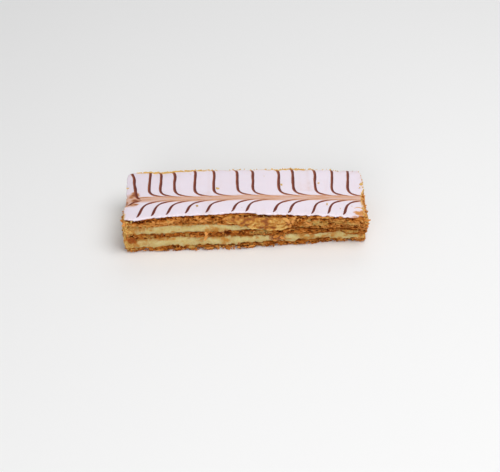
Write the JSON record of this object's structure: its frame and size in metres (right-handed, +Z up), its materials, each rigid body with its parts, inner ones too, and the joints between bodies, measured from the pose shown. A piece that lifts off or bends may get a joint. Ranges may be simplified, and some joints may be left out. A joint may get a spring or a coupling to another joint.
{
  "type": "mille feuille slice",
  "caption": "Long rectangular slice of layered puff pastry and custard, topped with white icing feathered with thin brown lines.",
  "frame": {"origin": "under the middle of the slice's box, on the flat base that it rests on", "axes": "+X along the slice's length towards its lower end, +Y from the front cut face to the back one, +Z up from the base to the icing"},
  "size_m": [0.1424, 0.0468, 0.0266],
  "materials": {
    "pastry": "baked, flaky and dry",
    "custard": "smooth, moist and slightly shiny",
    "icing": "smooth, set and softly glossy",
    "cocoa": "smooth brown icing"
  },
  "bodies": {
    "root": {"pastry_bottom": "pastry", "cream_lower": "custard", "pastry_middle": "pastry", "cream_upper": "custard", "pastry_top": "pastry", "icing": "icing"}
  },
  "joints": []
}
